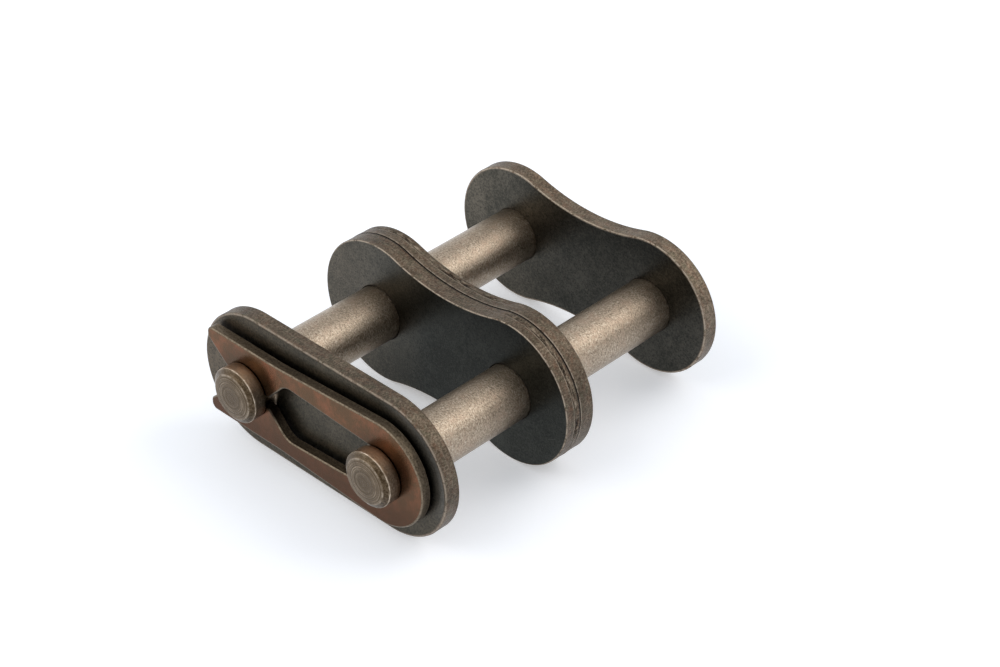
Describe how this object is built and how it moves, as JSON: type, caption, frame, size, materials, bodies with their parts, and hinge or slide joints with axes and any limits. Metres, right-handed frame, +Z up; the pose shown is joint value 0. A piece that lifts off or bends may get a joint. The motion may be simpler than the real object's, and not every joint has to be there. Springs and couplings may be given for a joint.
{
  "type": "chain connecting link",
  "caption": "Connecting link of a two-strand roller chain: riveted pins, waisted plates, removable plate and spring clip.",
  "frame": {"origin": "under the middle of the part, level with the lowest edges of the plates", "axes": "+X along the pitch, towards the clip's closed end; +Y along the pins, from the clip to the riveted ends; +Z up, across the plates' height"},
  "size_m": [0.0296, 0.0366, 0.0137],
  "materials": {
    "plate_steel": "blackened blanked steel, satin",
    "pin_steel": "ground and tempered steel, satin",
    "clip_steel": "tempered spring steel, brown, satin"
  },
  "bodies": {
    "pin_link": {"pin_link_plate": "plate_steel", "bearing_pin_left": "pin_steel", "bearing_pin_right": "pin_steel"},
    "intermediate_rear": {"intermediate_plate_rear": "plate_steel"},
    "intermediate_front": {"intermediate_plate_front": "plate_steel"},
    "removable_plate": {"connecting_plate": "plate_steel"},
    "clip": {"spring_clip": "clip_steel"}
  },
  "joints": [
    {"name": "intermediate_rear_slide", "type": "slide", "parent": "pin_link", "child": "intermediate_rear", "axis": [0, 1, 0], "range_m": [0, 0.0137]},
    {"name": "intermediate_front_slide", "type": "slide", "parent": "pin_link", "child": "intermediate_front", "axis": [0, 1, 0], "range_m": [-0.006, 0]},
    {"name": "connecting_plate_slide", "type": "slide", "parent": "pin_link", "child": "removable_plate", "axis": [0, 1, 0], "range_m": [-0.00028, 0.006]},
    {"name": "clip_slide", "type": "slide", "parent": "pin_link", "child": "clip", "axis": [1, 0, 0], "range_m": [0, 0.0093], "deforming": ["spring_clip"]}
  ]
}
